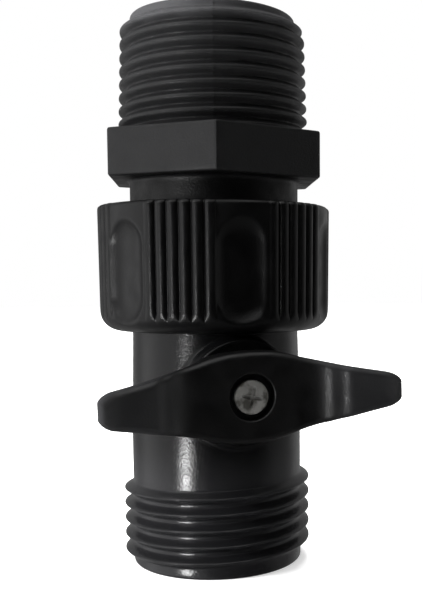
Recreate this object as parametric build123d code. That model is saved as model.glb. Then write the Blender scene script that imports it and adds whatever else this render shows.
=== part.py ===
from build123d import *
import os
from math import sin, cos, tan, radians, sqrt

# Garden-hose shut-off valve with a swivel nut, a quarter-turn ball and a butterfly lever, and a
# double-male hexagon adapter screwed into the nut.  Millimetres, +Z along the water way towards
# the adapter, origin at the centre of the outlet end face, valve stem pointing along -Y.
#
# Prefixes: R_ radius, P_ thread pitch, W_ width, Z_ height, A_ angle in degrees about +Z,
# H_ distance from the water-way axis, measured out along the stem.

# ---------------------------------------------------------------- threads
P_HOSE = 25.4 / 11.5          # 3/4 in garden-hose thread
R_HOSE_MAJOR = 13.40
R_HOSE_ROOT = 12.05
W_HOSE_CREST = 0.34
P_PIPE = 25.4 / 14.0          # 3/4 in tapered pipe thread, radii taken at the hexagon
R_PIPE_CREST = 13.34
R_PIPE_ROOT = 12.15
W_PIPE_CREST = 0.30
PIPE_TAPER = 1.0 / 32.0       # radius per length
PIPE_CONE = -1.79             # half angle of the taper, degrees, closing upwards
PIPE_START_GROWTH = 0.034     # extra radius where the ridge starts, inside the hexagon
FLANK_SLOPE = tan(radians(30))
FLANK_GAP = 0.20              # flank clearance between the hose threads in mesh

# A crest passes each height at the angle beside it
CREST_OUTLET = (2.07, 170.7)
CREST_ADAPTER = (45.0, 20.0)
CREST_PIPE = (63.16, -21.3)

# ---------------------------------------------------------------- heights
Z_OUTLET_THREAD = (1.40, 14.0)
Z_STEM = 25.6                 # stem and ball centre
Z_SHOULDER = 34.2             # body shoulder inside the nut's counterbore
Z_CLIP_GROOVE = (36.80, 38.05)
Z_CLIP = (36.85, 37.95)       # retaining ring
Z_NECK_END = 39.6             # end of the swivel neck
Z_NUT = (33.65, 51.05)
Z_ADAPTER = 42.85             # lower end of the adapter
Z_ADAPTER_THREAD_TOP = 51.0
Z_HEX = (54.60, 60.95)
Z_TOP = 77.2                  # open end of the adapter

# ---------------------------------------------------------------- body and adapter
R_BODY_LOW, R_BODY_UP = 12.20, 11.90
R_PILOT = 12.22               # plain ring below the outlet thread
R_CAVITY = 8.80               # ball cavity and outlet bore
MOUTH_CHAMFER = 0.5
PILOT_CHAMFER = 0.35
SHOULDER_CHAMFER = 0.25
R_NECK = 10.20                # swivel neck of the body
NECK_CHAMFER = 0.4
R_CLIP_GROOVE = 9.25
R_WATER = 5.80                # water way
R_BOSS, H_BOSS = 7.7, 13.6
R_BOSS_STEP, H_BOSS_STEP = R_BOSS + 0.12, 12.7
R_ADAPTER_NECK = 11.95
R_ADAPTER_BORE = 9.20
ADAPTER_CHAMFER = 0.5
HEX_ACROSS_FLATS = 28.55
A_HEX = -104.2                # a hexagon corner

# ---------------------------------------------------------------- ball, seats and stem
R_BALL, R_BALL_BORE = 8.40, 5.60
H_BALL_SLOT = 6.6             # floor of the drive slot
SEAT_NEAR, SEAT_FAR = 4.90, 7.90    # seat faces, measured from the ball centre
R_SEAT = (5.90, 8.72)
Z_CAVITY_TOP = Z_STEM + SEAT_FAR
Z_RETAINER = (11.4, Z_STEM - SEAT_FAR)
W_O_RING_GROOVE = 1.04
R_SEAT_GROOVE = (6.60, 7.90)
GROOVE_OVERCUT = 0.2
R_STEM, R_STEM_HOLE = 3.00, 3.09
R_STEM_FLANGE = 4.20
H_STEM_GROOVES = (10.62, 12.12)     # inner faces of the two stem O-ring grooves
A_REST = 1.8                  # lever turn about the stem past fully closed, as modelled

# ---------------------------------------------------------------- lever
H_HUB_BACK, H_HUB = 13.95, 17.4     # hub face towards the water way, hub face away from it
TIP_REACH, TIP_HALF_WIDTH = 20.0, 1.1
RIM_FILLET = 0.55
# Plan: (reach along the wing, half width); the last point is where the rounded tip starts
WING_PLAN = [(0, 5.85), (2.6, 5.75), (5.2, 5.25), (7.0, 4.75), (9.0, 4.30), (11.0, 3.84),
             (13.0, 3.36), (15.0, 2.95), (17.0, 2.55), (18.6, 2.22)]
TIP_MIDDLE = (19.50, 1.86)
# Side view: (reach along the wing, distance from the water-way axis)
WING_OUTER = [(6.0, H_HUB), (7.7, 17.55), (8.95, 17.84), (10.1, 18.45), (11.3, 19.08),
              (12.4, 19.75), (13.2, 20.07), (16.5, 20.53), (20.3, 21.06)]
WING_BACK = [(20.3, 18.45), (16.2, 18.00), (13.2, 17.40), (11.4, 17.05), (10.2, 16.75),
             (9.2, 16.1), (8.3, 15.1), (7.5, H_HUB_BACK)]
# Relief round the hub: (radius about the stem, distance from the water-way axis)
HUB_RELIEF = [(7.75, H_HUB_BACK - 1), (7.75, 13.9), (7.9, 14.3), (8.15, 15.15), (8.6, 15.75),
              (9.1, 16.12), (10.1, 16.6), (11.1, 16.78), (12.2, 16.84), (24.0, 16.98),
              (24.0, H_HUB_BACK - 1)]

# ---------------------------------------------------------------- swivel nut
R_NUT_TOP = 16.53
R_NUT_COUNTERBORE = 12.25
R_NUT_NECK = R_NECK + 0.2
R_NUT_SLEEVE = (13.80, 14.3)  # wall that carries the female ridge
Z_NUT_SLEEVE = 43.0
R_FEMALE_TIP = R_HOSE_ROOT + 0.30
Z_FEMALE_START = 42.2
R_SCALLOP = 6.3
SCALLOP_AXIS = 16.4 + 5.3     # scallop axis to nut axis
Z_SCALLOP, SCALLOP_LENGTH = 35.4, 9.0
A_SCALLOP = -92.8             # a scallop centre
A_RIBS = -122.6               # centre of a group of ribs
RIB_STEP = 5.9                # degrees from rib to rib
GRIP_GROUPS = 6
GAPS_PER_GROUP = 5

BASE = (Align.CENTER, Align.CENTER, Align.MIN)


# ---------------------------------------------------------------- helpers
def polygon(points):
    return make_face(Polyline(*points, close=True))


def ring_profile(points):
    """Revolve a closed outline given as (radius, height) pairs about Z."""
    return revolve(Plane.XZ * polygon(points), Axis.Z)


def tube(r_inner, r_outer, z_low, z_high):
    return ring_profile([(r_inner, z_low), (r_outer, z_low), (r_outer, z_high), (r_inner, z_high)])


def rod(radius, z, height):
    return Pos(0, 0, z) * Cylinder(radius, height, align=BASE)


def block(length, width, z, height):
    return Pos(0, 0, z) * Box(length, width, height, align=BASE)


def washer(r_inner, r_outer, z, height):
    outer = Cylinder(r_outer, height, align=BASE)
    return Pos(0, 0, z) * (outer - Cylinder(r_inner, height, align=BASE))


def o_ring(ring_radius, section_radius, z):
    return Pos(0, 0, z) * Torus(ring_radius, section_radius)


def helix_ridge(r_foot, r_path, r_crest, w_crest, pitch, z_start, turns, crest, cone=0.0):
    """Helical ridge of trapezoid section from z_start; its crest passes crest = (z, angle)."""
    path = Helix(pitch=pitch, height=pitch * turns, radius=r_path, center=(0, 0, 0),
                 cone_angle=cone)
    half_crest = w_crest / 2
    half_foot = half_crest + FLANK_SLOPE * abs(r_crest - r_foot)
    foot, top = r_foot - r_path, r_crest - r_path
    plane = Plane(origin=path @ 0, x_dir=(1, 0, 0), z_dir=path % 0)
    section = plane * polygon([(foot, -half_foot), (top, -half_crest),
                               (top, half_crest), (foot, half_foot)])
    ridge = sweep(section, path=path, is_frenet=True)
    z_crest, a_crest = crest
    angle = a_crest + (z_start - z_crest) / pitch * 360.0
    return Rot(0, 0, angle) * (Pos(0, 0, z_start) * ridge)


def male_hose_section(z_low, z_high, bore, crest):
    """Sleeve with a male hose thread, its ends bevelled down to the root."""
    ridge = helix_ridge(R_HOSE_ROOT - 0.25, R_HOSE_ROOT, R_HOSE_MAJOR, W_HOSE_CREST, P_HOSE,
                        z_low - 0.6 * P_HOSE, (z_high - z_low) / P_HOSE + 1.2, crest)
    sleeve = tube(bore, R_HOSE_ROOT, z_low - 3, z_high + 3)
    bevel = R_HOSE_MAJOR - R_HOSE_ROOT + 0.4
    r_clear = R_HOSE_MAJOR + 0.2
    envelope = ring_profile([
        (bore - 1, z_low), (R_HOSE_ROOT, z_low), (r_clear, z_low + bevel * 0.6),
        (r_clear, z_high - bevel * 0.75), (R_HOSE_ROOT, z_high), (bore - 1, z_high)])
    return (sleeve + ridge) & envelope


def to_stem(shape):
    """Lay a shape built along +Z (with +Y up) so that its +Z points along the stem (-Y)."""
    return Pos(0, 0, Z_STEM) * (Rot(90, 0, 0) * shape)


def turned(shape):
    """Rest position of everything that turns with the lever."""
    return Pos(0, 0, Z_STEM) * (Rot(0, -A_REST, 0) * (Pos(0, 0, -Z_STEM) * shape))


def as_part(shape):
    """The shape as one part; a boolean may leave crumbs, so only real solids are kept."""
    solids = [s for s in shape.solids() if s.volume > 0.05]
    return solids[0] if len(solids) == 1 else Compound(solids)


# ---------------------------------------------------------------- valve body
def stop_lug():
    """Short arc on the boss face that limits the quarter turn."""
    z_foot = H_BOSS - 0.5
    arc = washer(4.60, 6.40, z_foot, 1.45)
    bar = Pos(0, 0, z_foot) * (Rot(0, 0, 45) * (Pos(5.5, 0, 0) * Box(4, 1.7, 4, align=BASE)))
    return to_stem(arc & bar)


def valve_body():
    z_low, z_high = Z_OUTLET_THREAD
    core = ring_profile([
        (0, z_high), (R_HOSE_ROOT, z_high), (R_BODY_LOW, z_high + 0.3), (R_BODY_LOW, 18.5),
        (R_BODY_UP, 33.0), (R_BODY_UP, Z_SHOULDER - SHOULDER_CHAMFER),
        (R_BODY_UP - SHOULDER_CHAMFER, Z_SHOULDER), (R_NECK, Z_SHOULDER),
        (R_NECK, Z_CLIP_GROOVE[0]), (R_CLIP_GROOVE, Z_CLIP_GROOVE[0]),
        (R_CLIP_GROOVE, Z_CLIP_GROOVE[1]), (R_NECK, Z_CLIP_GROOVE[1]),
        (R_NECK, Z_NECK_END - NECK_CHAMFER), (R_NECK - NECK_CHAMFER, Z_NECK_END),
        (0, Z_NECK_END)])
    boss = to_stem(rod(R_BOSS, 0, H_BOSS))
    boss = chamfer(boss.edges().filter_by(GeomType.CIRCLE).sort_by(Axis.Y)[:1], 0.45)
    body = core + boss + to_stem(rod(R_BOSS_STEP, 0, H_BOSS_STEP))
    body = body + stop_lug()

    # Ball cavity, outlet bore and water way
    r_mouth = R_CAVITY + MOUTH_CHAMFER
    hollow = ring_profile([
        (0, -1), (r_mouth, -1), (r_mouth, 0), (R_CAVITY, MOUTH_CHAMFER),
        (R_CAVITY, Z_CAVITY_TOP), (R_WATER, Z_CAVITY_TOP), (R_WATER, Z_NECK_END + 1),
        (0, Z_NECK_END + 1)])
    groove = tube(*R_SEAT_GROOVE, Z_CAVITY_TOP - GROOVE_OVERCUT, Z_CAVITY_TOP + W_O_RING_GROOVE)
    stem_hole = to_stem(rod(R_STEM_HOLE, 0, 20))
    flange_room = to_stem(rod(4.35, 0, 10.35))
    body = body - hollow - groove - stem_hole - flange_room

    pilot = ring_profile([
        (r_mouth, 0), (R_PILOT - PILOT_CHAMFER, 0), (R_PILOT, PILOT_CHAMFER),
        (R_PILOT, z_low), (R_CAVITY, z_low), (R_CAVITY, MOUTH_CHAMFER)])
    return body + pilot + male_hose_section(z_low, z_high, R_CAVITY, CREST_OUTLET)


# ---------------------------------------------------------------- seats, their seals and ball
def seat(z_low, z_high):
    return tube(*R_SEAT, z_low, z_high) - Pos(0, 0, Z_STEM) * Sphere(R_BALL + 0.10)


def seat_o_ring(z):
    return o_ring(sum(R_SEAT_GROOVE) / 2, 0.5, z)


def seat_retainer():
    z_low, z_high = Z_RETAINER
    r_outer = R_CAVITY - 0.03
    ring = ring_profile([(R_WATER + 1.2, z_low), (r_outer, z_low), (r_outer, z_high),
                         (R_WATER, z_high), (R_WATER, z_low + 1.2)])
    ring = ring - tube(*R_SEAT_GROOVE, z_high - W_O_RING_GROOVE, z_high + GROOVE_OVERCUT)
    # Slot across the lower face
    return ring - Pos(0, 0, z_low) * Box(30, 2.2, 2.4)


def valve_ball():
    ball = Sphere(R_BALL) - Rot(0, 90, 0) * Cylinder(R_BALL_BORE, 30)
    ball = ball - Pos(0, -R_BALL - H_BALL_SLOT, 0) * Box(3.3, 2 * R_BALL, 30)
    return turned(Pos(0, 0, Z_STEM) * ball)


# ---------------------------------------------------------------- stem
def valve_stem():
    flange = rod(R_STEM_FLANGE, 8.95, 1.0)
    tongue = block(3.1, 7.6, 6.75, 2.6)
    stem = flange + (tongue & Cylinder(R_STEM_FLANGE, 40))
    stem = stem + rod(R_STEM, 9.6, 13.85 - 9.6)
    # Square that drives the lever
    stem = stem + block(4.0, 4.0, 13.8, 1.95)
    for h_groove in H_STEM_GROOVES:
        stem = stem - washer(2.20, R_STEM + 1, h_groove, W_O_RING_GROOVE)
    # Hole for the lever screw
    stem = stem - rod(1.10, 9.8, 10)
    return turned(to_stem(stem))


def stem_o_ring(h_groove):
    return turned(to_stem(o_ring(2.62, 0.39, h_groove + W_O_RING_GROOVE / 2)))


def stem_thrust_washer():
    return turned(to_stem(washer(3.08, 4.15, 9.97, 0.27)))


# ---------------------------------------------------------------- lever and its screw
def mirrored(points):
    """The points reversed, on the opposite wing."""
    return [(-reach, across) for reach, across in reversed(points)]


def lever_plan():
    """Plan outline square to the stem: two halves, each the other turned by 180 degrees."""
    with BuildSketch() as sketch:
        with BuildLine():
            for s in (1, -1):
                flank = mirrored(WING_PLAN[1:]) + WING_PLAN
                reach, width = WING_PLAN[-1]
                middle_reach, middle_width = TIP_MIDDLE
                tip_x, tip_y = s * TIP_REACH, s * TIP_HALF_WIDTH
                Spline(*[(s * x, s * y) for x, y in flank])
                Spline((s * reach, s * width), (s * middle_reach, s * middle_width),
                       (tip_x, tip_y), tangents=[(s, -0.22 * s), (0, -s)])
                Line((tip_x, tip_y), (tip_x, -tip_y))
                Spline((tip_x, -tip_y), (s * middle_reach, -s * middle_width),
                       (s * reach, -s * width), tangents=[(0, -s), (-s, -0.22 * s)])
        make_face()
    return sketch.sketch


def lever_side():
    outer_left, back_left = mirrored(WING_OUTER), mirrored(WING_BACK)
    with BuildSketch(Plane.XZ) as sketch:
        with BuildLine():
            Spline(*WING_OUTER, tangents=[(1, 0), (1, 0.2)])
            Line(outer_left[-1], WING_OUTER[0])
            Spline(*outer_left, tangents=[(1, -0.2), (1, 0)])
            Line(WING_OUTER[-1], WING_BACK[0])
            Spline(*WING_BACK)
            Line(WING_BACK[-1], back_left[0])
            Spline(*reversed(back_left[::-1]))
            Line(back_left[-1], outer_left[0])
        make_face()
    return sketch.sketch


def lever_handle():
    lever = extrude(lever_plan(), 30) & extrude(lever_side(), 10, both=True)
    # The long edges may refuse the fillet; the lever then keeps them sharp
    try:
        lever = fillet([e for e in lever.edges() if e.length > 5], RIM_FILLET)
    except Exception:
        pass
    # The back of each wing swings past the swivel nut without touching it
    lever = lever - ring_profile(HUB_RELIEF)
    # Recess for the screw head, then the square socket
    lever = lever - rod(3.0, 15.85, 10)
    lever = lever - block(4.06, 4.06, 10, 20)
    # Sector pocket under the hub: the stop lug runs in it and its ends set the quarter turn
    pocket = washer(4.40, 6.60, H_HUB_BACK - 1, 2.15)
    fan_x, fan_y = 9 * cos(radians(56)), 9 * sin(radians(56))
    fan = extrude(polygon([(0, 0), (fan_x, -fan_y), (12, 0), (fan_x, fan_y)]), 20)
    return turned(to_stem(lever - (pocket & fan)))


def lever_screw():
    head = rod(2.27, 15.88, 1.72)
    head = fillet(head.edges().group_by(Axis.Z)[-1], 0.45)
    cross = Box(2.9, 0.75, 2, align=BASE) + Box(0.75, 2.9, 2, align=BASE)
    recess = Pos(0, 0, 16.7) * cross
    screw = (head + rod(1.07, 10.4, 5.6)) - (Rot(0, 0, -13) * recess)
    return turned(to_stem(screw))


# ---------------------------------------------------------------- swivel nut
def female_thread():
    r_wall, r_outer = R_NUT_SLEEVE
    z_top = Z_NUT[1]
    # The ridge fills the male groove, less the clearance on both flanks
    w_tip = (P_HOSE - W_HOSE_CREST - 2 * (R_HOSE_MAJOR - R_FEMALE_TIP) * FLANK_SLOPE
             - 2 * FLANK_GAP / cos(radians(30)))
    z_crest, a_crest = CREST_ADAPTER
    ridge = helix_ridge(r_wall + 0.3, r_wall, R_FEMALE_TIP, w_tip, P_HOSE, Z_FEMALE_START,
                        (z_top - Z_FEMALE_START) / P_HOSE + 0.8,
                        (z_crest + P_HOSE / 2, a_crest))
    return (tube(r_wall, r_outer, 40.5, z_top + 2) + ridge) & ring_profile([
        (r_outer, Z_NUT_SLEEVE), (12.9, Z_NUT_SLEEVE), (12.3, 44.0), (12.3, 49.3),
        (r_wall, z_top - 0.6), (r_outer, z_top - 0.1)])


def swivel_nut():
    z_low, z_high = Z_NUT
    nut = ring_profile([
        (0, z_low), (13.5, z_low), (14.7, z_low + 0.35), (15.7, z_low + 1.2),
        (16.2, z_low + 2.2), (16.38, z_low + 3.2), (R_NUT_TOP, z_high - 0.6),
        (R_NUT_TOP - 0.6, z_high), (0, z_high)])
    # Long oval scallop: an upright rod with a ball end bites into the wall
    scallop = (Pos(SCALLOP_AXIS, 0, Z_SCALLOP) * Cylinder(R_SCALLOP, SCALLOP_LENGTH, align=BASE)
               + Pos(SCALLOP_AXIS, 0, Z_SCALLOP + SCALLOP_LENGTH) * Sphere(R_SCALLOP))
    rib_gap = Pos(16.55, 0, 35.6) * Box(0.9, 0.85, 20, align=BASE)
    for group in range(GRIP_GROUPS):
        turn = 360 / GRIP_GROUPS * group
        nut = nut - Rot(0, 0, A_SCALLOP + turn) * scallop
        for gap in range(GAPS_PER_GROUP):
            offset = (gap - (GAPS_PER_GROUP - 1) / 2) * RIB_STEP
            nut = nut - Rot(0, 0, A_RIBS + turn + offset) * rib_gap
    r_sleeve = R_NUT_SLEEVE[1]
    inside = ring_profile([
        (0, z_low - 1), (R_NUT_COUNTERBORE, z_low - 1), (R_NUT_COUNTERBORE, z_low + 0.75),
        (R_NUT_NECK, z_low + 0.75), (R_NUT_NECK, 36.65), (12.2, 36.65), (12.2, 39.3),
        (12.75, 39.3), (12.75, Z_NUT_SLEEVE), (r_sleeve, Z_NUT_SLEEVE),
        (r_sleeve, z_high + 1), (0, z_high + 1)])
    return nut - inside + female_thread()


def nut_retaining_ring():
    """Flat ring, split on the +X side."""
    return tube(9.35, 11.40, *Z_CLIP) - Pos(10.5, 0, sum(Z_CLIP) / 2) * Box(6, 2.4, 4)


def hose_washer():
    return tube(8.0, 12.45, Z_NECK_END + 0.12, Z_ADAPTER - 0.12)


# ---------------------------------------------------------------- adapter
def pipe_root(z):
    """Root radius of the pipe thread at a height."""
    return R_PIPE_ROOT - PIPE_TAPER * (z - Z_HEX[1])


def hexagon():
    z_low, z_high = Z_HEX
    flats = Rot(0, 0, A_HEX) * RegularPolygon(HEX_ACROSS_FLATS / sqrt(3), 6)
    prism = Pos(0, 0, z_low) * extrude(flats, z_high - z_low)
    return prism & ring_profile([
        (R_ADAPTER_BORE, z_low), (15.9, z_low), (16.6, z_low + 0.45), (16.6, z_high - 0.45),
        (15.9, z_high), (R_ADAPTER_BORE, z_high)])


def pipe_section():
    z_hex = Z_HEX[1]
    z_start = z_hex - 0.6 * P_PIPE
    ridge = helix_ridge(R_PIPE_ROOT - 0.3, R_PIPE_ROOT + PIPE_START_GROWTH,
                        R_PIPE_CREST + PIPE_START_GROWTH, W_PIPE_CREST, P_PIPE, z_start,
                        (Z_TOP - 0.9 - z_start) / P_PIPE, CREST_PIPE, cone=PIPE_CONE)
    cone = ring_profile([
        (R_ADAPTER_BORE, z_hex - 3), (pipe_root(z_hex - 3), z_hex - 3),
        (pipe_root(Z_TOP + 3), Z_TOP + 3), (R_ADAPTER_BORE, Z_TOP + 3)])
    r_clear = R_PIPE_CREST + 0.3
    envelope = ring_profile([
        (R_ADAPTER_BORE - 1, z_hex), (r_clear, z_hex), (r_clear, Z_TOP - 2.2),
        (pipe_root(Z_TOP), Z_TOP - 0.35), (pipe_root(Z_TOP) - 0.35, Z_TOP),
        (R_ADAPTER_BORE - 1, Z_TOP)])
    return (cone + ridge) & envelope


def adapter_nipple():
    z_thread, z_neck = Z_ADAPTER + ADAPTER_CHAMFER, Z_ADAPTER_THREAD_TOP
    neck = ring_profile([
        (R_ADAPTER_BORE, z_neck), (R_HOSE_ROOT, z_neck), (R_ADAPTER_NECK, z_neck + 0.3),
        (R_ADAPTER_NECK, Z_HEX[0] + 0.5), (R_ADAPTER_NECK, Z_HEX[1]),
        (R_ADAPTER_BORE, Z_HEX[1])])
    nose = ring_profile([
        (R_ADAPTER_BORE, Z_ADAPTER), (R_HOSE_ROOT - ADAPTER_CHAMFER, Z_ADAPTER),
        (R_HOSE_ROOT, z_thread), (R_ADAPTER_BORE, z_thread)])
    adapter = neck + hexagon() + nose
    adapter = adapter + male_hose_section(z_thread, z_neck, R_ADAPTER_BORE, CREST_ADAPTER)
    return adapter + pipe_section()


# ---------------------------------------------------------------- parts
PARTS = {
    "valve_body": valve_body(),
    "seat_upper": seat(Z_STEM + SEAT_NEAR, Z_STEM + SEAT_FAR),
    "seat_lower": seat(Z_STEM - SEAT_FAR, Z_STEM - SEAT_NEAR),
    "seat_o_ring_upper": seat_o_ring(Z_CAVITY_TOP + W_O_RING_GROOVE / 2),
    "seat_o_ring_lower": seat_o_ring(Z_RETAINER[1] - W_O_RING_GROOVE / 2),
    "seat_retainer": seat_retainer(),
    "valve_ball": valve_ball(),
    "valve_stem": valve_stem(),
    "stem_o_ring_inner": stem_o_ring(H_STEM_GROOVES[0]),
    "stem_o_ring_outer": stem_o_ring(H_STEM_GROOVES[1]),
    "stem_thrust_washer": stem_thrust_washer(),
    "lever_handle": lever_handle(),
    "lever_screw": lever_screw(),
    "swivel_nut": swivel_nut(),
    "nut_retaining_ring": nut_retaining_ring(),
    "hose_washer": hose_washer(),
    "adapter_nipple": adapter_nipple(),
}

os.makedirs("parts", exist_ok=True)
for name, shape in PARTS.items():
    part = as_part(shape)
    part.label = name
    export_step(part, "parts/%s.step" % name)
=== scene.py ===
# Black plastic hose shut-off valve with a swivel nut and a threaded adapter, standing on the floor.
# The flow axis is +Z with the valve body at the bottom. The stem and its lever face -Y.
# Lengths are in mm, and angles in degrees from +X towards +Y, unless a comment says otherwise.
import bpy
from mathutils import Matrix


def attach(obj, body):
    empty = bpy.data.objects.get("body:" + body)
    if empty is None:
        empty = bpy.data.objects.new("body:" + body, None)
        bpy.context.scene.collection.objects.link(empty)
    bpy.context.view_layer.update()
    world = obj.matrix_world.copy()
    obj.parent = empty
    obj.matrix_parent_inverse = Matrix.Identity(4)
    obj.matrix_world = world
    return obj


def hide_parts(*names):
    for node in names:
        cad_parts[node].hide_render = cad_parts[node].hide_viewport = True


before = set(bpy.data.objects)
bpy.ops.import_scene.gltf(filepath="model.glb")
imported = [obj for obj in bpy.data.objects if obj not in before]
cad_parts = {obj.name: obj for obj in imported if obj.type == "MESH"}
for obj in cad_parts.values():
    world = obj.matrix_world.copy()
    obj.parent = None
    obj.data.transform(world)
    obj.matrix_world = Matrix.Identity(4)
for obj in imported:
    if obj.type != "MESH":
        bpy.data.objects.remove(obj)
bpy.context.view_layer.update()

import bpy
import bmesh
import math
import numpy as np
from mathutils import Matrix, Vector

MM = 0.001                          # metres in a millimetre
INCH = 25.4

# ---------------------------------------------------------------- sizes shared with the CAD
HOSE_PITCH = INCH / 11.5
PIPE_PITCH = INCH / 14.0
STEM_Z = 25.6                       # height of the stem axis
BOSS_FACE = 13.6                    # distance of the boss face from the flow axis
BOSS_RADIUS = 7.5
NUT_BOTTOM, NUT_TOP = 33.65, 51.05
HEX_BOTTOM, HEX_TOP = 54.60, 60.95
HEX_ACROSS_FLATS = 28.55
TOP = 77.2                          # upper end of the adapter
HEX_ANGLE = -104.2                  # one corner of the hexagon
FLUTE_ANGLE = -92.8                 # middle of one flute of the nut
RIB_ANGLE = -122.6 + 0.45           # middle of one group of ribs on the nut
LEVER_TURN = 1.8                    # turn of the lever about its stem at rest


# ---------------------------------------------------------------- curves
def smoothstep(start, end, value):
    t = np.clip((value - start) / (end - start), 0, 1)
    return t * t * (3 - 2 * t)


def mix(start, end, t):
    return start * (1 - t) + end * t


def arc(center_r, center_z, radius, start, end, count):
    """Points (r, z) along an arc."""
    return [(center_r + radius * math.cos(math.radians(a)),
             center_z + radius * math.sin(math.radians(a))) for a in np.linspace(start, end, count)]


def spaced(start, end, step):
    """Even stations from start to end, about a step apart."""
    return np.linspace(start, end, round(abs(end - start) / step) + 1)


def smooth_curve(stations, values, x):
    """Smooth monotone cubic through the given points."""
    stations, values = np.asarray(stations, float), np.asarray(values, float)
    gap = np.diff(stations)
    slope = np.diff(values) / gap
    tangent = np.zeros(len(stations))
    tangent[0], tangent[-1] = slope[0], slope[-1]
    for i in range(1, len(stations) - 1):
        if slope[i - 1] * slope[i] > 0:
            before, after = 2 * gap[i] + gap[i - 1], gap[i] + 2 * gap[i - 1]
            tangent[i] = (before + after) / (before / slope[i - 1] + after / slope[i])
    i = np.clip(np.searchsorted(stations, x, side="right") - 1, 0, len(stations) - 2)
    t = (x - stations[i]) / gap[i]
    return ((1 + 2 * t) * (1 - t) ** 2 * values[i] + t * (1 - t) ** 2 * gap[i] * tangent[i]
            + t * t * (3 - 2 * t) * values[i + 1] + t * t * (t - 1) * gap[i] * tangent[i + 1])


def make_thread(pitch, height, crest_width, base_width, blur, crest_z, crest_angle):
    """Helical ridge as a function (z, angle) -> height; a crest passes crest_z at crest_angle.

    The section is a trapezoid rounded by a Gaussian, sampled over one pitch with its crest at 0.
    """
    count = 400
    distance = np.abs((np.arange(count) / count + 0.5) % 1.0 - 0.5) * pitch
    flank = (base_width / 2 - distance) / (base_width / 2 - crest_width / 2)
    section = np.clip(flank, 0, 1) * height
    centred = (np.arange(count) + count // 2) % count - count // 2
    kernel = np.exp(-0.5 * (centred * pitch / count / blur) ** 2)
    kernel /= kernel.sum()
    table = np.real(np.fft.ifft(np.fft.fft(section) * np.fft.fft(kernel)))

    def ridge(z, angle):
        phase = ((z - crest_z - pitch * (angle - crest_angle) / 360.0) / pitch) % 1.0
        sample = phase * count
        index = np.floor(sample).astype(int) % count
        return mix(table[index], table[(index + 1) % count], sample - np.floor(sample))
    return ridge


# ---------------------------------------------------------------- meshes
# Corner orders for strips(): 0 and 1 follow the first loop, 2 and 3 return along the second.
ALONG_LOOP = (0, 1, 2, 3)
ACROSS_LOOPS = (0, 3, 2, 1)
ACROSS_FROM_NEXT = (1, 2, 3, 0)


def strips(loops, order):
    """Quads between successive closed loops of vertex numbers."""
    quads = []
    for first, second in zip(loops[:-1], loops[1:]):
        for j in range(len(first)):
            k = (j + 1) % len(first)
            corners = (first[j], first[k], second[k], second[j])
            quads.append(tuple(corners[n] for n in order))
    return quads


def number_loops(count, size):
    return np.arange(count * size).reshape(count, size).tolist()


def torus_faces(count, size):
    """Quads of a stack of closed loops whose last loop joins the first."""
    loops = number_loops(count, size)
    return strips(loops + loops[:1], ALONG_LOOP)


def new_object(name, points, faces, sharp=None):
    """Mesh from points in mm; smooth with edges split above the sharp angle, or flat without one."""
    mesh = bpy.data.meshes.new(name)
    mesh.from_pydata((np.asarray(points, dtype=np.float64) * MM).tolist(), [], faces)
    mesh.update()
    if sharp:
        bm = bmesh.new()
        bm.from_mesh(mesh)
        bmesh.ops.recalc_face_normals(bm, faces=bm.faces[:])
        bm.to_mesh(mesh)
        bm.free()
        mesh.polygons.foreach_set("use_smooth", [True] * len(mesh.polygons))
        mesh.set_sharp_from_angle(angle=math.radians(sharp))
    made = bpy.data.objects.new(name, mesh)
    bpy.context.scene.collection.objects.link(made)
    return made


# Turned pieces are outlines of rows (radius, z, kind) carried round a list of angles. Only "plain"
# rows take their radius as written; the piece's builder works out the others from their kind.
def rows_of(points, kind="plain"):
    return [(radius, z, kind) for radius, z in points]


def wall(radius, heights, kind="plain"):
    return [(radius, z, kind) for z in heights]


def row_grid(rows, angles):
    """Radius, angle and z over rows x angles, and the kind of each row."""
    radii, heights, kinds = zip(*rows)
    angle, z = np.meshgrid(angles, heights)
    radius = np.repeat(np.array(radii, float)[:, None], len(angles), 1)
    return radius, angle, z, np.array(kinds)


def turned_points(radius, angle, z):
    turn = np.radians(angle)
    return np.stack([radius * np.cos(turn), radius * np.sin(turn), z], -1).reshape(-1, 3)


def drop_close(angles, gap):
    """Leave out each angle that follows its neighbour by no more than the gap."""
    return angles[np.concatenate([[True], np.diff(angles) > gap])]


def from_nearest(angle, middle):
    """Degrees from the nearest of six features spaced 60 degrees apart."""
    return (angle - middle + 30) % 60 - 30


# ---------------------------------------------------------------- adapter
ADAPTER_BORE = 9.2
ADAPTER_BOTTOM = 42.85
HEX_LOWER_ROUND, HEX_UPPER_ROUND = 0.30, 0.34
COLUMN_STEP = 1.5                   # angle between columns of the adapter and the body


def adapter_angles():
    """Even columns, with extra ones round each corner of the hexagon."""
    angles = list(np.arange(0, 360, COLUMN_STEP))
    for k in range(6):
        for offset in (-1.15, -0.75, -0.4, -0.12, 0.12, 0.4, 0.75, 1.15):
            angles.append((HEX_ANGLE + 60 * k + offset) % 360)
    return drop_close(np.array(sorted(set(round(a, 4) for a in angles))), gap=0.08)


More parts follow.
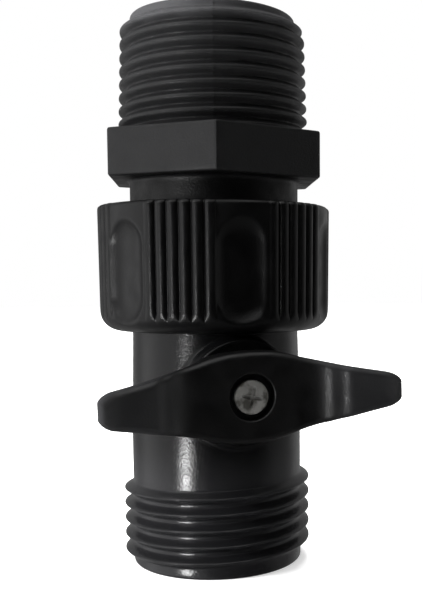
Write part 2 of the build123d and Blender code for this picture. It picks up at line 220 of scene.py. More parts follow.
def adapter_rows():
    """Up the outside from the lower end, over the top and down the bore."""
    bore, low, high = ADAPTER_BORE, HEX_LOWER_ROUND, HEX_UPPER_ROUND
    return (
        rows_of([(r, ADAPTER_BOTTOM) for r in (bore + 0.35, bore + 0.9, 10.9, 11.35)])
        + rows_of(arc(11.45, 43.35, 0.5, -78, 0, 5))
        + wall(0, spaced(43.45, NUT_TOP, 0.125), "hose")
        + wall(11.95, (51.3, 51.6, 52.5, 53.4, 54.0))
        + rows_of([(12.0, 54.25), (12.12, 54.45), (12.35, 54.57)])
        + rows_of([(r, HEX_BOTTOM) for r in (12.7, 13.3, 13.8)])
        # radius here is the offset from the hexagon
        + rows_of(arc(-low, HEX_BOTTOM + low, low, -90, 0, 5), "hex")
        + wall(0, spaced(HEX_BOTTOM + 0.8, HEX_TOP - 0.8, 0.8), "hex")
        + rows_of(arc(-high, HEX_TOP - high, high, 0, 90, 5), "hex")
        + rows_of([(13.75, HEX_TOP), (13.3, HEX_TOP), (12.85, HEX_TOP + 0.02)])
        + wall(0, spaced(HEX_TOP + 0.1, TOP - 0.6, 0.112), "pipe")
        + rows_of(arc(11.12, TOP - 0.42, 0.42, 12, 90, 6))
        + rows_of([(10.6, TOP), (10.0, TOP)])
        + rows_of(arc(bore + 0.3, TOP - 0.3, 0.3, 90, 180, 5))
        + wall(bore, np.linspace(TOP - 1.5, 44.5, 10))
        + rows_of([(bore, 43.3), (bore + 0.1, 43.0)]))


def adapter_hose_radius(z, angle):
    """Hose thread, fading at both ends."""
    thread = make_thread(HOSE_PITCH, height=1.35, crest_width=0.30, base_width=1.80, blur=0.11,
                         crest_z=45.0, crest_angle=20.0)
    fade = smoothstep(43.2, 44.3, z) * (1 - smoothstep(49.6, 51.0, z))
    return 12.05 + thread(z, angle) * fade - 0.1 * smoothstep(50.3, 51.1, z)


def hex_radius(angle):
    """Hexagon with its corners slightly eased."""
    offset = from_nearest(angle, HEX_ANGLE)
    flat = HEX_ACROSS_FLATS / 2 / np.cos(np.radians(30 - np.abs(offset)))
    return flat - 0.055 * np.exp(-(offset / 0.75) ** 2)


def adapter_pipe_radius(z, angle):
    """Tapered pipe thread that runs out below the top, with a raised moulding seam."""
    thread = make_thread(PIPE_PITCH, height=0.92, crest_width=0.50, base_width=1.62, blur=0.12,
                         crest_z=63.16, crest_angle=-21.3)
    crest = 13.36 - (z - HEX_TOP) / 32.0
    root = crest - 0.90
    tilted = z - 0.15 * np.cos(np.radians(angle + 40))
    fade = 1 - smoothstep(TOP - 2.0, TOP - 0.75, tilted)
    lead_in = (root - 11.53) * smoothstep(TOP - 1.9, TOP - 0.9, z)
    seam = 0.045 * np.exp(-(((angle + 105.3 + 180) % 360 - 180) / 0.9) ** 2)
    return root + thread(z, angle) * fade - lead_in + seam * (z > 61.5)


def build_adapter():
    radius, angle, z, kinds = row_grid(adapter_rows(), adapter_angles())
    hose, hexagon, pipe = kinds == "hose", kinds == "hex", kinds == "pipe"
    radius[hose] = adapter_hose_radius(z[hose], angle[hose])
    radius[hexagon] += hex_radius(angle[hexagon])
    radius[pipe] = adapter_pipe_radius(z[pipe], angle[pipe])
    return new_object("adapter_shell", turned_points(radius, angle, z),
                      torus_faces(*radius.shape), sharp=40)


# ---------------------------------------------------------------- valve body
BODY_BORE = 8.8
NECK_RADIUS = 10.2                  # neck above the body, with a groove round it
BOSS_HALF_ANGLE = 52.5              # half width of the window cut in the skin for the boss
BOSS_FILLET = 0.60                  # at the foot of the boss
BOSS_ROUND = 0.5                    # at the edge of its face
BODY_CREST_Z, BODY_CREST_ANGLE = 2.07, 170.7


def body_radius(z):
    """Radius of the plain skin: straight, then tapering above z = 18.5."""
    return np.where(z < 18.5, 12.20, 12.20 + (11.90 - 12.20) * (z - 18.5) / (33.0 - 18.5))


def body_rows():
    """Up the outside, over the neck and down the bore, with the first and last window rows."""
    rows = (
        rows_of([(9.2, 0.02), (10.2, 0.0), (11.3, 0.0)] + arc(11.82, 0.4, 0.4, -75, 0, 5))
        + wall(12.22, (0.8, 1.2))
        + wall(0, spaced(1.45, 14.2, 0.115), "thread")
        + wall(0, (14.4, 14.8, 15.3, 15.8), "skin"))
    window_start = len(rows)
    rows += wall(0, np.linspace(16.2, 33.6, 45), "skin")
    window_end = len(rows) - 1
    rows += (
        wall(0, [33.85], "skin")
        + rows_of([(11.86, 34.0), (11.78, 34.12), (11.65, 34.2), (11.2, 34.2), (10.4, 34.2)])
        + wall(NECK_RADIUS, (34.35, 34.8, 35.6, 36.4, 36.78))
        + rows_of([(10.15, 36.8), (9.3, 36.8), (9.25, 36.85),
                   (9.25, 38.0), (9.3, 38.05), (10.15, 38.05)])
        + wall(NECK_RADIUS, (38.1, 38.6, 39.2))
        + rows_of(arc(NECK_RADIUS - 0.35, 39.25, 0.35, 0, 90, 4))
        + rows_of([(8.5, 39.6), (6.5, 39.6), (5.9, 39.55), (5.8, 39.4), (5.8, 37), (5.8, 34),
                   (5.8, 33.6), (5.9, 33.5), (8.7, 33.5), (8.8, 33.4)])
        + wall(BODY_BORE, (30, 26, 22, 18, 14, 11, 8, 5, 2.5, 0.9))
        + rows_of([(8.9, 0.45), (9.05, 0.15)]))
    return rows, window_start, window_end


def body_thread_radius(z, angle):
    """Hose thread that fades in over the pilot and runs out into the plain body."""
    thread = make_thread(HOSE_PITCH, height=1.30, crest_width=0.26, base_width=1.62, blur=0.09,
                         crest_z=BODY_CREST_Z, crest_angle=BODY_CREST_ANGLE)
    # turns from the crest reference, kept within one turn starting at the -X side
    turns = ((angle + 180) % 360 - (BODY_CREST_ANGLE + 180)) / 360.0
    ridge_number = np.round((z - BODY_CREST_Z) / HOSE_PITCH - turns)
    crest = BODY_CREST_Z + HOSE_PITCH * (ridge_number + turns)
    fade = smoothstep(1.5, 2.0, crest) * (1 - smoothstep(12.05, 12.75, crest))
    root = 12.17 + 0.03 * smoothstep(12.0, 14.1, z) + 0.03 * (1 - smoothstep(1.4, 2.2, z))
    return root + thread(z, angle) * fade


def boss_rings(angle, z):
    """Rings from the window's edge to the boss and into the recess in its face.

    The edge is given by its angles from -Y (radians) and its heights.
    """
    skin = body_radius(z)
    edge_along, edge_up = angle * skin, z - STEM_Z      # the skin unrolled
    turn = np.arctan2(edge_up, edge_along)

    def on_skin(radius):
        """Height above the stem axis, and depth, where the skin meets this radius."""
        up = radius * np.sin(turn)
        return up, np.sqrt(body_radius(STEM_Z + up) ** 2 - (radius * np.cos(turn)) ** 2)

    def boss_ring(radius, depth):
        return np.stack([radius * np.cos(turn), -depth + 0 * turn,
                         STEM_Z + radius * np.sin(turn)], -1)

    rings = []
    foot_radius = BOSS_RADIUS + BOSS_FILLET
    foot_up, foot_depth = on_skin(foot_radius)
    foot_skin = body_radius(STEM_Z + foot_up)
    foot_along = np.arcsin(foot_radius * np.cos(turn) / foot_skin) * foot_skin
    for t in (np.arange(1, 8) / 7) ** 0.8:
        along, up = mix(edge_along, foot_along, t), mix(edge_up, foot_up, t)
        skin = body_radius(STEM_Z + up)
        rings.append(np.stack([skin * np.sin(along / skin), -skin * np.cos(along / skin),
                               STEM_Z + up], -1))
    # fillet from skin to wall, a quadratic curve
    corner_depth = on_skin(BOSS_RADIUS)[1]
    wall_start = corner_depth + BOSS_FILLET
    for t in (0.2, 0.4, 0.6, 0.8, 1.0):
        first, middle, last = (1 - t) ** 2, 2 * t * (1 - t), t * t
        rings.append(boss_ring(foot_radius * first + BOSS_RADIUS * (middle + last),
                               foot_depth * first + corner_depth * middle + wall_start * last))
    for t in (0.33, 0.66, 1.0):
        rings.append(boss_ring(BOSS_RADIUS, mix(wall_start, BOSS_FACE - BOSS_ROUND, t)))
    for a in np.radians((22, 45, 68, 90)):
        rings.append(boss_ring(BOSS_RADIUS - BOSS_ROUND + BOSS_ROUND * math.cos(a),
                               BOSS_FACE - BOSS_ROUND + BOSS_ROUND * math.sin(a)))
    # radius, depth: the face, then the recess
    for radius, depth in ((6.9, BOSS_FACE), (5.6, BOSS_FACE), (4.3, BOSS_FACE), (3.25, BOSS_FACE),
                          (3.12, BOSS_FACE - 0.1), (3.09, BOSS_FACE - 0.3), (3.09, 11.5),
                          (3.0, 11.2), (1.5, 11.2), (0.35, 11.2)):
        rings.append(boss_ring(radius, depth))
    return rings


def build_body():
    columns = np.arange(0, 360, COLUMN_STEP)
    count = len(columns)
    rows, bottom, top = body_rows()
    radius, angle, z, kinds = row_grid(rows, columns)
    thread, skin = kinds == "thread", kinds == "skin"
    radius[thread] = body_thread_radius(z[thread], angle[thread])
    radius[skin] = body_radius(z[skin])

    # the window for the boss is centred on -Y
    left = round((270 - BOSS_HALF_ANGLE) / COLUMN_STEP)
    right = round((270 + BOSS_HALF_ANGLE) / COLUMN_STEP)
    faces = [quad for number, quad in enumerate(torus_faces(len(rows), count))
             if not (bottom <= number // count < top and left <= number % count < right)]
    # its edge, counter-clockwise seen from outside
    edge = ([(bottom, c) for c in range(left, right)] + [(i, right) for i in range(bottom, top)]
            + [(top, c) for c in range(right, left, -1)] + [(i, left) for i in range(top, bottom, -1)])
    rings = boss_rings(np.array([math.radians(columns[c] - 270.0) for i, c in edge]),
                       np.array([rows[i][1] for i, c in edge]))
    start, size = len(rows) * count, len(edge)
    loops = [[i * count + c for i, c in edge]]
    loops += [list(range(start + q * size, start + (q + 1) * size)) for q in range(len(rings))]
    faces += strips(loops, ALONG_LOOP) + [tuple(loops[-1])]
    return new_object("body_shell", np.concatenate([turned_points(radius, angle, z)] + rings),
                      faces, sharp=40)


# ---------------------------------------------------------------- swivel nut
RIB_PITCH = 5.9                     # degrees between ribs, six to a group
RIB_HALF_WIDTH = 2.72               # degrees
RIB_HEIGHT = 0.50
NUT_LOWER_ROUND, NUT_UPPER_ROUND = 2.75, 0.6
NUT_INNER_RADIUS = 13.8             # before the hose thread is cut


def nut_angles():
    """Columns packed along each rib, and even ones across each flute."""
    angles = []
    for k in range(6):
        for rib in range(6):
            middle = RIB_ANGLE + 60 * k + (rib - 2.5) * RIB_PITCH
            angles += [middle + offset for offset in (
                -2.95, -2.72, -2.5, -2.2, -1.7, -1.1, -0.5, 0.0, 0.5, 1.1, 1.7, 2.2, 2.5, 2.72)]
            if rib == 5:
                angles += [middle + 2.95, middle + 3.25]
        angles += list(np.arange(FLUTE_ANGLE + 60 * k - 13.9, FLUTE_ANGLE + 60 * k + 13.91, 0.85))
    return drop_close(np.array(sorted(a % 360 for a in angles)), gap=0.15)


def nut_rows():
    """From the inner lip out under the nut, up the outside, over the top and down the inside."""
    bottom, top, low, high = NUT_BOTTOM, NUT_TOP, NUT_LOWER_ROUND, NUT_UPPER_ROUND
    return (
        rows_of([(10.42, bottom + 0.78), (11.3, bottom + 0.75), (12.15, bottom + 0.75),
                 (12.25, bottom + 0.65), (12.25, bottom + 0.3), (12.3, bottom + 0.08),
                 (12.45, bottom), (12.9, bottom), (13.3, bottom)])
        # radius here is the offset from the full wall
        + rows_of(arc(-low, bottom + low, low, -84, 0, 11), "outer")
        + wall(0, spaced(bottom + 2.95, top - 1.0, 0.29), "outer")
        + rows_of(arc(-high, top - high, high, 0, 90, 7), "outer")
        + rows_of([(15.0, top), (14.7, top), (14.35, top - 0.05), (14.1, top - 0.3),
                   (13.85, top - 0.7)])
        + wall(0, spaced(top - 0.8, 43.1, 0.138), "thread")
        + rows_of([(12.85, 43.0), (12.75, 42.9), (12.75, 41), (12.75, 39.35), (12.25, 39.3),
                   (12.2, 39.2), (12.2, 36.75), (12.1, 36.65), (10.5, 36.65), (10.4, 36.55),
                   (10.4, 35.5)]))


def nut_outer_radius(offset, z, angle):
    """Ribbed wall with six round-ended flutes."""
    group_end = 2.5 * RIB_PITCH
    from_group = from_nearest(angle, RIB_ANGLE)
    nearest = np.clip(np.round(from_group / RIB_PITCH + 2.5) - 2.5, -2.5, 2.5) * RIB_PITCH
    across = np.clip(np.abs(from_group - nearest), 0, RIB_HALF_WIDTH) / RIB_HALF_WIDTH
    valley = 1 - np.sqrt(1 - across ** 2)               # 0 on the rib's crown, 1 in the valley
    valley *= np.where(np.abs(from_group) > group_end, 0.5, 1.0)

    past_end = np.where(z < 38.4, 38.4 - z, np.where(z > 45.3, z - 45.3, 0.0))
    around = np.radians(from_nearest(angle, FLUTE_ANGLE)) * 16.45
    from_flute = np.sqrt(around ** 2 + past_end ** 2) / 3.46
    flute_depth = 0.25 + 1.00 * (1 - from_flute ** 3.2)

    full = 16.36 + 0.17 * (z - NUT_BOTTOM) / (NUT_TOP - NUT_BOTTOM)
    fade = smoothstep(NUT_BOTTOM + 1.75, NUT_BOTTOM + 2.75, z)
    ribbed = full + offset - RIB_HEIGHT * valley * fade
    cut = full + offset * 0.5 - flute_depth
    # soft minimum of the two, so the flute's edge is slightly rounded
    softness = 0.12
    share = np.clip(0.5 + 0.5 * (cut - ribbed) / softness, 0, 1)
    return mix(cut, ribbed, share) - softness * share * (1 - share)


def nut_thread_radius(z, angle):
    """Hose thread cut half a pitch away from the adapter's."""
    thread = make_thread(HOSE_PITCH, height=1.35, crest_width=0.26, base_width=1.75, blur=0.10,
                         crest_z=45.0 + HOSE_PITCH / 2, crest_angle=20.0)
    fade = (1 - smoothstep(NUT_TOP - 2.2, NUT_TOP - 1.0, z)) * smoothstep(43.2, 44.2, z)
    return NUT_INNER_RADIUS - thread(z, angle) * fade


def build_nut():
    radius, angle, z, kinds = row_grid(nut_rows(), nut_angles())
    outer, thread = kinds == "outer", kinds == "thread"
    radius[outer] = nut_outer_radius(radius[outer], z[outer], angle[outer])
    radius[thread] = nut_thread_radius(z[thread], angle[thread])
    return new_object("nut_shell", turned_points(radius, angle, z),
                      torus_faces(*radius.shape), sharp=62)


# ---------------------------------------------------------------- lever
# Lever coordinates: along the wings, across them, and depth out along the stem (towards -Y).
def to_world(along, across, depth):
    """Lever coordinates to the shared frame at the rest turn; depth may be a single number."""
    turn = math.radians(LEVER_TURN)
    return np.stack([along * math.cos(turn) - across * math.sin(turn),
                     -depth + 0 * along,
                     STEM_Z + along * math.sin(turn) + across * math.cos(turn)], -1)


# distance along the wing, slope of its front face (degrees)
FRONT_SLOPES = [
    (0, 0), (5.6, 0), (6.9, 5.5), (7.7, 8.5), (8.55, 14), (8.95, 19), (9.35, 25), (9.75, 31),
    (10.1, 36.5), (10.5, 33), (10.95, 24), (11.4, 22.5), (11.8, 28), (12.15, 35), (12.4, 36.5),
    (12.75, 26), (13.1, 15), (13.6, 9.5), (15, 8.5), (20.3, 8.0)]
# distance along the wing, depth of its back face
BACK_ALONG = [(0, 13.95), (7.5, 13.95), (8.3, 15.1), (9.2, 16.1), (10.2, 16.75), (11.4, 17.05),
              (13.2, 17.4), (16.2, 18.0), (20.3, 18.45)]
# distance from the stem axis, depth of the back face round the hub
BACK_ROUND = [(0, 13.95), (7.72, 13.95), (7.9, 14.3), (8.15, 15.15), (8.6, 15.75), (9.1, 16.12),
              (10.1, 16.6), (11.1, 16.78), (12.2, 16.84), (24, 16.98)]
# distance along the wing, half width
HALF_WIDTHS = [(0, 5.95), (2.6, 5.85), (5.2, 5.36), (7.0, 4.84), (9.0, 4.34), (11.0, 3.84),
               (13.0, 3.36), (15.0, 2.95), (17.0, 2.56), (18.2, 2.33)]
WING_TIP = 19.95
TIP_HALF_FLAT = 1.0
FRONT_DEPTH = 17.4                  # of the front face at the hub
FRONT_ROUND, BACK_EDGE_ROUND = 0.85, 0.45
PATCH_INSET = 0.90                  # from the outline to the edge of each face's grid
HOLE_RADIUS = 3.28                  # hole for the screw


def front_profile():
    """Stations along the wing and the depth of its front face, summed from the slopes."""
    stations = np.linspace(0, 20.3, 2031)
    rise = np.tan(np.radians(np.interp(stations, *zip(*FRONT_SLOPES))))
    rise = np.convolve(np.pad(rise, 10, mode="edge"), np.ones(21) / 21, "valid")
    steps = (rise[1:] + rise[:-1]) / 2 * np.diff(stations)
    return stations, FRONT_DEPTH + np.concatenate([[0], np.cumsum(steps)])


FRONT_PROFILE = front_profile()


def lever_front(outline):
    return np.interp(np.abs(outline[:, 0]), *FRONT_PROFILE)


def lever_back(outline):
    along, across = outline.T
    return np.maximum(np.interp(np.abs(along), *zip(*BACK_ALONG)),
                      np.interp(np.hypot(along, across), *zip(*BACK_ROUND)))


def lever_half_width(along):
    distance = np.abs(along)
    width = smooth_curve(*zip(*HALF_WIDTHS), distance)
    return np.where(distance < 4.0, np.sqrt(1 - (distance / 40) ** 2) * width, width)


def tip_corner(count):
    """Cubic curve from the long edge round to the flat at the wing tip."""
    start, end = np.array(HALF_WIDTHS[-1]), np.array([WING_TIP, TIP_HALF_FLAT])
    start_pull, end_pull = start + np.array([0.85, -0.18]), end + np.array([0.0, 0.50])
    t = np.linspace(0, 1, count)[:, None]
    return ((1 - t) ** 3 * start + 3 * t * (1 - t) ** 2 * start_pull
            + 3 * t * t * (1 - t) * end_pull + t ** 3 * end)


def lever_outline():
    """Closed outline, clockwise seen from the front, and the point counts of a long side and an end."""
    mirror, flip = np.array([[-1, 1]]), np.array([[1, -1]])
    tip = HALF_WIDTHS[-1][0]
    along = np.concatenate([
        -np.linspace(tip, 13.8, 12)[:-1], -np.linspace(13.8, 5.0, 52)[:-1],
        np.linspace(-5.0, 5.0, 43)[:-1], np.linspace(5.0, 13.8, 52)[:-1],
        np.linspace(13.8, tip, 12)])
    long_edge = np.stack([along, lever_half_width(along)], -1)
    corner = tip_corner(25)
    long_part, end_part = corner[:13], corner[12:]
    top = np.concatenate([(long_part * mirror)[::-1][:-1], long_edge, long_part[1:]])
    flat = np.stack([np.full(9, WING_TIP), np.linspace(TIP_HALF_FLAT, -TIP_HALF_FLAT, 9)], -1)
    right = np.concatenate([end_part, flat[1:-1], (end_part * flip)[::-1]])
    bottom = top * flip
    bottom[:, 1] -= 0.24 * np.exp(-(bottom[:, 0] / 5.5) ** 2)       # slight belly under the hub
    left = right * mirror
    outline = np.concatenate([top[:-1], right[:-1], bottom[::-1][:-1], left[::-1][:-1]])
    return outline, len(top), len(right)


def inward_normals(outline):
    tangent = np.roll(outline, -1, 0) - np.roll(outline, 1, 0)
    tangent /= np.linalg.norm(tangent, axis=1)[:, None]
    for _ in range(3):
        tangent = np.roll(tangent, 1, 0) + 2 * tangent + np.roll(tangent, -1, 0)
        tangent /= np.linalg.norm(tangent, axis=1)[:, None]
    return np.stack([tangent[:, 1], -tangent[:, 0]], -1)


def edge_drop(inset, radius):
    """How far a rounded edge lies below the face at this inset from the outline."""
    return radius - math.sqrt(radius ** 2 - (radius - min(inset, radius)) ** 2)


def add_points(points, outline, depth):
    """Append lever points and return their numbers."""
    start = len(points)
    points.extend(to_world(outline[:, 0], outline[:, 1], depth))
    return list(range(start, len(points)))


def split_sides(ring, long_count, end_count):
    """Top, right, bottom and left of a closed ring, running left to right or top to bottom."""
    closed = np.concatenate([ring, ring[:1]])
    corner_1 = long_count - 1
    corner_2 = corner_1 + end_count - 1
    corner_3 = corner_2 + long_count - 1
    return (closed[:corner_1 + 1], closed[corner_1:corner_2 + 1],
            closed[corner_2:corner_3 + 1][::-1], closed[corner_3:][::-1])


def fitted_grid(points, ring, border, long_count, end_count, depth_of):
    """Grid blended from the four sides of the border: its places and vertex numbers."""
    top, right, bottom, left = split_sides(border, long_count, end_count)
    s = np.linspace(0, 1, long_count)[:, None, None]
    t = np.linspace(0, 1, end_count)[None, :, None]
    corners = ((1 - s) * (1 - t) * top[0] + s * (1 - t) * top[-1]
               + (1 - s) * t * bottom[0] + s * t * bottom[-1])
    places = (mix(top[:, None], bottom[:, None], t) + mix(left[None], right[None], s)) - corners
    numbers = np.empty((long_count, end_count), int)
    numbers[:, 0], numbers[-1, :], numbers[:, -1], numbers[0, :] = split_sides(
        ring, long_count, end_count)
    inner = places[1:-1, 1:-1].reshape(-1, 2)
    numbers[1:-1, 1:-1] = np.reshape(add_points(points, inner, depth_of(inner)),
                                     (long_count - 2, end_count - 2))
    return places, numbers


def grid_quads(numbers, skip=None):
    """Quads of an open grid, leaving out the block skip = (i start, i end, j start, j end)."""
    quads = []
    for i in range(numbers.shape[0] - 1):
        for j in range(numbers.shape[1] - 1):
            if skip and skip[0] <= i < skip[1] and skip[2] <= j < skip[3]:
                continue
            quads.append((numbers[i, j], numbers[i + 1, j],
                          numbers[i + 1, j + 1], numbers[i, j + 1]))
    return quads


def screw_hole(points, places, numbers, window):
    """Faces from the edge of the skipped block to the round hole and down to its floor."""
    i0, i1, j0, j1 = window
    path = ([(i, j0) for i in range(i0, i1)] + [(i1, j) for j in range(j0, j1)]
            + [(i, j1) for i in range(i1, i0, -1)] + [(i0, j) for j in range(j1, j0, -1)])
    edge = np.array([places[i, j] for i, j in path])
    turn = np.arctan2(edge[:, 1], edge[:, 0])
    circle = np.stack([np.cos(turn), np.sin(turn)], -1)
    loops = [[int(numbers[i, j]) for i, j in path]]
    for t in (0.3, 0.6, 0.85):
        ring = mix(edge, HOLE_RADIUS * circle, t)
        loops.append(add_points(points, ring, lever_front(ring)))
    # radius, depth
    for radius, depth in ((HOLE_RADIUS, FRONT_DEPTH), (3.20, 17.385), (3.12, 17.33),
                          (3.08, 17.24), (3.06, 17.0), (3.05, 16.4), (3.04, 15.95), (2.98, 15.86),
                          (2.4, 15.85), (1.5, 15.85), (1.3, 15.7), (1.3, 15.0), (0.5, 15.0)):
        loops.append(add_points(points, radius * circle, depth))
    return strips(loops, ACROSS_FROM_NEXT) + [tuple(loops[-1][::-1])]


def build_lever():
    outline, *counts = lever_outline()
    inward = inward_normals(outline)
    border = outline + inward * PATCH_INSET
    points, loops = [], []
    for inset in (PATCH_INSET, 0.85, 0.62, 0.43, 0.28, 0.16, 0.07, 0.018, 0.0):
        ring = outline + inward * inset
        depth = lever_front(ring) - edge_drop(inset, FRONT_ROUND)
        loops.append(add_points(points, ring, depth))
    front_edge = lever_front(outline) - FRONT_ROUND
    back_edge = lever_back(outline) + BACK_EDGE_ROUND
    for t in (0.25, 0.5, 0.75):
        loops.append(add_points(points, outline, mix(front_edge, back_edge, t)))
    for inset in (0.0, 0.03, 0.12, 0.25, 0.45, PATCH_INSET):
        ring = outline + inward * inset
        depth = lever_back(ring) + edge_drop(inset, BACK_EDGE_ROUND)
        loops.append(add_points(points, ring, depth))
    faces = strips(loops, ACROSS_LOOPS)

    places, numbers = fitted_grid(points, loops[0], border, *counts, lever_front)
    middle_row = places[:, counts[1] // 2, 0]
    middle_column = places[counts[0] // 2, :, 1]
    window = (int(np.argmin(np.abs(middle_row + 4.3))), int(np.argmin(np.abs(middle_row - 4.3))),
              int(np.argmin(np.abs(middle_column - 4.2))),
              int(np.argmin(np.abs(middle_column + 4.2))))
    faces += [quad[::-1] for quad in grid_quads(numbers, skip=window)]
    faces += screw_hole(points, places, numbers, window)

    places, numbers = fitted_grid(points, loops[-1], border, *counts, lever_back)
    faces += grid_quads(numbers)
    return new_object("lever_shell", points, faces, sharp=48)


# ---------------------------------------------------------------- screw
SCREW_SIDES = 144
SCREW_TOP = 17.62                   # depth of the dome at its middle
DOME_FALL = 0.085                   # fall of the dome per mm squared of radius
DOME_RADIUS = 2.05
RECESS_TURN = -13.0
RECESS_REACH = 1.50                 # length of a recess arm
RECESS_DEPTH = 0.5


def recess_arm(lengthwise, sideways):
    """Share of the full recess depth in the pair of opposite arms lying lengthwise."""
    inside = 0.33 - 0.07 * np.abs(lengthwise) - np.abs(sideways)
    return (smoothstep(0.0, 0.16, inside)
            * smoothstep(0.0, 0.55, RECESS_REACH - np.abs(lengthwise)))


def build_screw():
    """Domed head with a worn cross recess."""
    angles = np.radians(np.arange(SCREW_SIDES) * 360 / SCREW_SIDES)
    radii = np.concatenate([np.linspace(0.03, 1.75, 36), [1.85, 1.95, DOME_RADIUS]])
    angle, radius = np.meshgrid(angles, radii)
    x, y = radius * np.cos(angle), radius * np.sin(angle)
    turn = math.radians(RECESS_TURN)
    arm_x = x * math.cos(turn) + y * math.sin(turn)
    arm_y = -x * math.sin(turn) + y * math.cos(turn)
    cut = np.maximum(recess_arm(arm_x, arm_y), recess_arm(arm_y, arm_x))
    worn = (0.035 * np.sin(3.1 * x + 1.2) * np.cos(2.7 * y - 0.6)
            + 0.02 * np.sin(7.3 * x - 2.2 * y))
    depth = (SCREW_TOP - DOME_FALL * radius ** 2 + worn * smoothstep(2.1, 1.0, radius)
             - RECESS_DEPTH * cut * (1 - 0.25 * radius / RECESS_REACH))
    rings = [to_world(*ring) for ring in zip(x, y, depth)]
    edge = SCREW_TOP - DOME_FALL * DOME_RADIUS ** 2
    # radius, depth: the rim, the side and the underside
    for ring_radius, ring_depth in (
            (2.16, edge - 0.05), (2.23, edge - 0.13), (2.265, edge - 0.26), (2.27, edge - 0.6),
            (2.27, 15.95), (2.2, 15.88), (1.2, 15.88)):
        rings.append(to_world(ring_radius * np.cos(angles), ring_radius * np.sin(angles),
                              ring_depth))
    loops = number_loops(len(rings), SCREW_SIDES)
    faces = strips(loops, ACROSS_FROM_NEXT) + [tuple(loops[0][::-1]), tuple(loops[-1])]
    return new_object("screw_shell", np.concatenate(rings), faces, sharp=50)


# ---------------------------------------------------------------- shader nodes
def add_node(tree, kind, inputs, output=0, **settings):
    """Add a node whose inputs take a value or a socket; returns one output socket."""
    node = tree.nodes.new("ShaderNode" + kind)
    for setting, value in settings.items():
        setattr(node, setting, value)
    for key, value in inputs.items():
        if isinstance(value, bpy.types.NodeSocket):
            tree.links.new(value, node.inputs[key])
        else:
            node.inputs[key].default_value = value
    return node.outputs[output]


def empty_tree(owner):
    """Node tree of a material or world, cleared, with its output node."""
    owner.use_nodes = True
    tree = owner.node_tree
    tree.nodes.clear()
    kind = "OutputWorld" if isinstance(owner, bpy.types.World) else "OutputMaterial"
    return tree, tree.nodes.new("ShaderNode" + kind).inputs[0]


def object_place(tree):
    return add_node(tree, "TexCoord", {}, "Object")


def noise(tree, place, scale, detail=2.0):
    return add_node(tree, "TexNoise", {"Vector": place, "Scale": scale, "Detail": detail})


def map_range(tree, value, source=(0, 1), target=(0, 1), smooth=False):
    return add_node(tree, "MapRange",
                    dict(enumerate((value, *source, *target))),
                    interpolation_type="SMOOTHSTEP" if smooth else "LINEAR")


def math_node(tree, operation, *values):
    return add_node(tree, "Math", dict(enumerate(values)), operation=operation)


def bump(tree, height, strength, distance):
    """Bump whose distance is in metres."""
    return add_node(tree, "Bump", {"Height": height, "Strength": strength, "Distance": distance})


# ---------------------------------------------------------------- materials
def plastic(name, color, roughness, grain=0.34, grain_scale=4200, specular=0.5, mottling=0.35,
            scuff=0.12, ripple=0.25):
    """Moulded plastic: fine grain and ripple in the bump, cloudy color, scuffed roughness."""
    material = bpy.data.materials.new(name)
    tree, surface = empty_tree(material)
    place = object_place(tree)
    fine = noise(tree, place, scale=grain_scale)
    middling = noise(tree, place, scale=420, detail=4.0)
    cloudy = noise(tree, place, scale=70, detail=3.0)
    shade = map_range(tree, cloudy, (0.3, 0.7), (1 - mottling * 0.5, 1 + mottling * 0.5))
    base = add_node(tree, "VectorMath", {0: color, "Scale": shade}, operation="SCALE")
    scuffed = map_range(tree, middling, (0.35, 0.68), (roughness - 0.05, roughness + scuff))
    normal = bump(tree, fine, strength=grain, distance=0.00006)
    rippled = bump(tree, middling, strength=ripple, distance=0.00008)
    tree.links.new(rippled, normal.node.inputs["Normal"])
    shader = add_node(tree, "BsdfPrincipled", {
        "Base Color": base, "Roughness": scuffed, "Specular IOR Level": specular,
        "Normal": normal})
    tree.links.new(shader, surface)
    return material


def metal(name, color, roughness, scale=900, metallic=0.9):
    """Metal with dark, rougher blotches."""
    material = bpy.data.materials.new(name)
    tree, surface = empty_tree(material)
    blotches = noise(tree, object_place(tree), scale=scale, detail=5)
    base = add_node(tree, "ValToRGB", {0: blotches})
    dark, light = base.node.color_ramp.elements
    dark.position = 0.43
    dark.color = (color[0] * 0.25, color[1] * 0.24, color[2] * 0.22, 1)
    light.position = 0.57
    light.color = (*color, 1)
    shader = add_node(tree, "BsdfPrincipled", {
        "Base Color": base, "Metallic": metallic,
        "Roughness": map_range(tree, blotches, target=(roughness + 0.15, roughness - 0.1)),
        "Normal": bump(tree, blotches, strength=0.5, distance=0.0001)})
    tree.links.new(shader, surface)
    return material


def principled_input(tree, key):
    """An input of the material's shader and the socket that feeds it."""
    target = tree.nodes["Principled BSDF"].inputs[key]
    return target, target.links[0].from_socket


def scale_color(tree, gain):
    target, source = principled_input(tree, "Base Color")
    tree.links.new(add_node(tree, "VectorMath", {0: source, "Scale": gain}, operation="SCALE"),
                   target)


def wobbled_gain(tree, distance, wobble, start, end, gains):
    """Gain that changes from start to end (mm) of a distance already wobbled by noise (metres)."""
    span = (start * MM + wobble / 2, end * MM + wobble / 2)
    return map_range(tree, distance, span, gains, smooth=True)


def paint_wing_light_and_matt_tips(material, start, end, gain):
    """Painted light: the wings' colour is raised above the hub's to stand in for the light they catch,
    and their very ends are made matt.
    """
    tree = material.node_tree
    wobble = 0.004
    place = object_place(tree)
    sideways = math_node(tree, "ABSOLUTE", add_node(tree, "SeparateXYZ", {0: place}, "X"))
    uneven = noise(tree, place, scale=260, detail=5)
    distance = math_node(tree, "MULTIPLY_ADD", uneven, wobble, sideways)
    # painted light: wing colour raised from the hub outwards
    scale_color(tree, wobbled_gain(tree, distance, wobble, start, end, (1.0, gain)))
    matt = map_range(tree, sideways, (0.0172, 0.0192), (0.0, 0.34), smooth=True)
    target, source = principled_input(tree, "Roughness")
    tree.links.new(math_node(tree, "ADD", source, matt), target)


